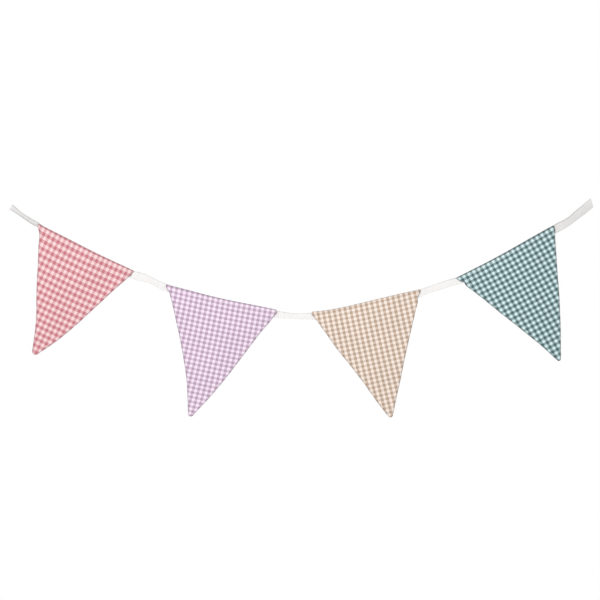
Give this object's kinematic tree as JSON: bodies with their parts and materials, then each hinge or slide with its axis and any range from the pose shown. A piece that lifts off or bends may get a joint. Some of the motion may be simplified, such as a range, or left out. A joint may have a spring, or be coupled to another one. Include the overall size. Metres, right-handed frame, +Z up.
{
  "type": "fabric bunting",
  "caption": "Hanging fabric bunting: triangular gingham pennants, blunt at the top corners and rounded at the tip, stitched along a flat white cotton tape whose ends hang free.",
  "frame": {"origin": "middle of the tape's left cut end, where the bunting is held up", "axes": "+X along the bunting to its right-hand end, +Y away from the viewer, +Z up"},
  "size_m": [1.0511, 0.024, 0.3937],
  "materials": {
    "white_cotton_tape": "matt woven cotton tape with a firm edge on each side",
    "rose_gingham": "plain-woven cotton, rose and white gingham check",
    "lilac_gingham": "plain-woven cotton, lilac and white gingham check",
    "beige_gingham": "plain-woven cotton, beige and white gingham check",
    "teal_gingham": "plain-woven cotton, teal and white gingham check"
  },
  "bodies": {
    "root": {"tape": "white_cotton_tape", "pennant_red": "rose_gingham", "pennant_lilac": "lilac_gingham", "pennant_beige": "beige_gingham", "pennant_teal": "teal_gingham"}
  },
  "joints": []
}
